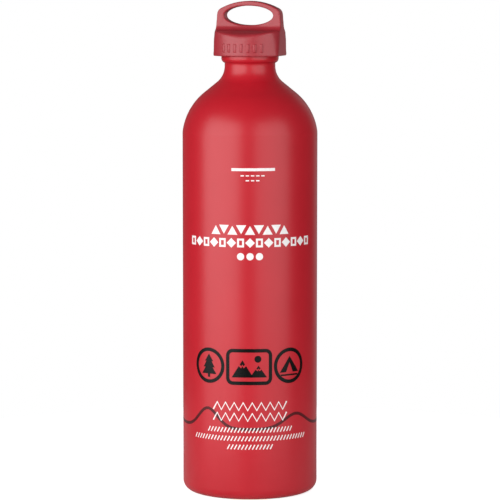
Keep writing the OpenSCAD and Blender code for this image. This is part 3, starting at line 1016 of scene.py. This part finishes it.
def rolled_on(name, pieces, material, proud):
    """Rolls flat figures on to the front of the barrel, their faces proud of the powder coat."""
    piece = joined(name, pieces)
    pick(piece, "FACE", lambda face: face.normal.y > 0)
    bpy.ops.mesh.flip_normals()
    strips = int(max(abs(c[0]) for c in piece.bound_box) / MM / STRIP_W)
    for strip in range(-strips, strips + 1):
        bpy.ops.mesh.select_all(action="SELECT")
        bpy.ops.mesh.bisect(plane_co=(strip * STRIP_W * MM, 0, 0), plane_no=(1, 0, 0))
    bpy.ops.object.mode_set(mode="OBJECT")
    face_r = BODY_R - INK_T + proud
    width = piece.dimensions.x / MM
    modified(piece, "SIMPLE_DEFORM", deform_method="BEND", deform_axis="Z", angle=width / face_r)
    piece.location = (0, -face_r * MM, 0)
    settle(piece)
    modified(piece, "SOLIDIFY", thickness=(proud + SUNK_INK) * MM, offset=-1)
    finished(piece, material, "bottle", smooth=20)


print(f"rolling on: strips {STRIP_W} mm wide")

# %% [markdown]
# ### White print
# The filling bar has two short rows of dashes under it. Below stand a band of triangles that
# point up and down by turns, a band of frames and diamonds by turns, and three dots. Each band is
# two rows that fit into each other's gaps. Two zigzags and three rows of slanted hatching close
# the print near the foot.

# %% White print
BAR_UP, BAR_MIDDLE, BAR_SIZE = 219.4, 2.2, (29, 1.9)
DASH_ROWS = ((215.4, 5), (212.2, 3))    # height and number of dashes
DASH_MIDDLE, DASH_PITCH, DASH_SIZE = 1.7, 3.4, (2.2, 0.8)
HEAD_UP, HEAD_PITCH, HEAD_COUNT, HEAD_R = 179.9, 5.85, 9, 3.9
HEAD_STEP = 1.2         # triangles that point up lie this much lower, the others higher
BAND_UP, BAND_PITCH, BAND_COUNT = 171.4, 6.2, 15
FRAME_SIZE, FRAME_STROKE, DIAMOND_R = (4.6, 5.8), 1.3, 3.2
DOTS_UP, DOT_COUNT, DOT_R = 162.4, 3, 2.4
ZIG_ROWS = (63.2, 56.1)
ZIG_PITCH, ZIG_POINTS, ZIG_H, ZIG_STROKE = 3.0, 18, 5.2, 1.05
HATCH_ROWS = ((47.4, 25), (41.8, 35), (36.2, 13))   # height and number of strokes
HATCH_PITCH, HATCH_SIZE, HATCH_SLANT = 2.4, (0.75, 3.6), 28

pointing_up = disc(0, HEAD_UP - HEAD_STEP, HEAD_R, sides=3)
pointing_down = disc(0, HEAD_UP + HEAD_STEP, HEAD_R, sides=3, turn=180)
diamond = disc(0, BAND_UP, DIAMOND_R, sides=4)
square = frame_of(block(0, BAND_UP, *FRAME_SIZE), FRAME_STROKE)
dot = disc(0, DOTS_UP, DOT_R, sides=32)
white_figures = [block(BAR_MIDDLE, BAR_UP, *BAR_SIZE),
                 row_of(pointing_up, (HEAD_COUNT + 1) // 2, 2 * HEAD_PITCH),
                 row_of(pointing_down, HEAD_COUNT // 2, 2 * HEAD_PITCH),
                 row_of(square, (BAND_COUNT + 1) // 2, 2 * BAND_PITCH),
                 row_of(diamond, BAND_COUNT // 2, 2 * BAND_PITCH),
                 row_of(dot, DOT_COUNT, BAND_PITCH)]
for row_up, count in DASH_ROWS:
    dash = block(DASH_MIDDLE, row_up, *DASH_SIZE)
    white_figures.append(row_of(dash, count, DASH_PITCH))
for row_up in ZIG_ROWS:
    zigzag = [(ZIG_PITCH * (i - (ZIG_POINTS - 1) / 2), row_up + ZIG_H / 2 * (-1) ** (i + 1))
              for i in range(ZIG_POINTS)]
    white_figures.append(ribbon(zigzag, ZIG_STROKE))
for row_up, count in HATCH_ROWS:
    hatch = block(0, row_up, *HATCH_SIZE, HATCH_SLANT)
    white_figures.append(row_of(hatch, count, HATCH_PITCH))
rolled_on("white_print", white_figures, WHITE_INK, INK_T)

# %% [markdown]
# ### Badges
# Three badges stand in a row: a pine, two mountains under the sun, and a tent. The motifs are
# drawn by their corners, in shares of their half-width and height, so that each can have any
# size.

# %% Badge motifs
def motif(across, foot, width, height, outline):
    """A flat figure whose outline is in shares of its half-width and its height."""
    return plate([(across + x * width / 2, foot + y * height) for x, y in outline])


def pine(across, foot, height):
    """A pine tree of three tiers on a short trunk."""
    side = [(0.06, 0.0), (0.06, 0.14), (0.38, 0.14), (0.19, 0.42), (0.30, 0.42), (0.14, 0.68),
            (0.22, 0.68), (0.0, 1.0)]
    return motif(across, foot, 2 * height, height, side + [(-x, y) for x, y in side[-2::-1]])


def mountain(across, foot, width, height):
    """A mountain with a snow line: its body, and its top above a gap."""
    snow, top = 0.66, 0.76
    body = [(-1, 0), (1, 0), (1 - snow, snow), (0.12, snow - 0.13), (0, snow),
            (-0.12, snow - 0.13), (snow - 1, snow)]
    summit = [(top - 1, top), (-0.1, top - 0.11), (0, top), (0.1, top - 0.11), (1 - top, top),
              (0, 1)]
    return [motif(across, foot, width, height, outline) for outline in (body, summit)]


def tent(across, foot, width, height):
    """A ridge tent with an open door."""
    return motif(across, foot, width, height,
                 [(-1, 0), (0, 1), (1, 0), (0.36, 0), (0, 0.62), (-0.36, 0)])


print("ready: pine, mountain, tent")

# %% [markdown]
# The middle badge is wider than the round ones. Its corners are beveled before it is inset, so
# that its stroke keeps one width. Black covers the red at once, so it goes on thinner than the
# white.

# %% Black print
BADGE_UP, BADGE_STROKE = 89.5, 2.4
ROUND_BADGE_R = 11.8
MIDDLE_AT, MIDDLE_SIZE, MIDDLE_CORNER = -0.6, (31, 24), 4.5
PINE_AT, PINE_H = -29.0, 15.5
MOUNTAINS = ((-5.0, 14.5, 11.5), (5.6, 11.5, 8.0))  # middle, width and height of each
MOUNTAINS_DOWN = 7.0    # their feet lie this far below the badge's middle
SUN_AT, SUN_UP, SUN_R = 5.2, 5.2, 2.3
TENT_AT, TENT_DOWN, TENT_SIZE = 27.8, 4.4, (15.0, 10.6)
GROUND_DOWN, GROUND_SIZE = 6.2, (13.6, 1.1)
BLACK_PROUD = 0.035

black_figures = [frame_of(disc(across, BADGE_UP, ROUND_BADGE_R, sides=64), BADGE_STROKE)
                 for across in (PINE_AT, TENT_AT)]
middle_badge = round_corners(block(MIDDLE_AT, BADGE_UP, *MIDDLE_SIZE), MIDDLE_CORNER)
black_figures += [frame_of(middle_badge, BADGE_STROKE),
                  pine(PINE_AT, BADGE_UP - PINE_H / 2, PINE_H),
                  disc(SUN_AT, BADGE_UP + SUN_UP, SUN_R, sides=32),
                  tent(TENT_AT, BADGE_UP - TENT_DOWN, *TENT_SIZE),
                  block(TENT_AT, BADGE_UP - GROUND_DOWN, *GROUND_SIZE)]
for across, width, height in MOUNTAINS:
    black_figures += mountain(across, BADGE_UP - MOUNTAINS_DOWN, width, height)
rolled_on("black_print", black_figures, BLACK_INK, BLACK_PROUD)

# %% [markdown]
# ### Line of hills
# The maroon line runs right round the bottle and rises over four hills. Each hill is a bell
# curve, which starts and ends flat, so the line has no corner where one hill begins. Drawing it
# by hand would need many points for the same smoothness.

# %% Maroon print
HILL_MIDDLES = (-30.0, 33.0, -88.0, 94.0)
HILL_HEIGHTS = (13.0, 9.0, 7.0, 9.0)
HILL_WIDTHS = (11.0, 13.0, 16.0, 15.0)
HILLS_UP = 48.0         # height of the line between the hills
HILLS_PROUD = 0.02
HILLS_STROKE = 2.0
HILLS_STEPS = 144


def hills_at(across):
    """Height of the line at a distance round the bottle."""
    return HILLS_UP + sum(height * math.exp(-((across - middle) / width) ** 2)
                          for middle, height, width in zip(HILL_MIDDLES, HILL_HEIGHTS, HILL_WIDTHS))


half_round = math.pi * (BODY_R - INK_T + HILLS_PROUD)
places = [half_round * (2 * i / HILLS_STEPS - 1) for i in range(HILLS_STEPS + 1)]
hill_line = [(across, hills_at(across)) for across in places]
rolled_on("hills_print", [ribbon(hill_line, HILLS_STROKE)], MAROON_INK, HILLS_PROUD)
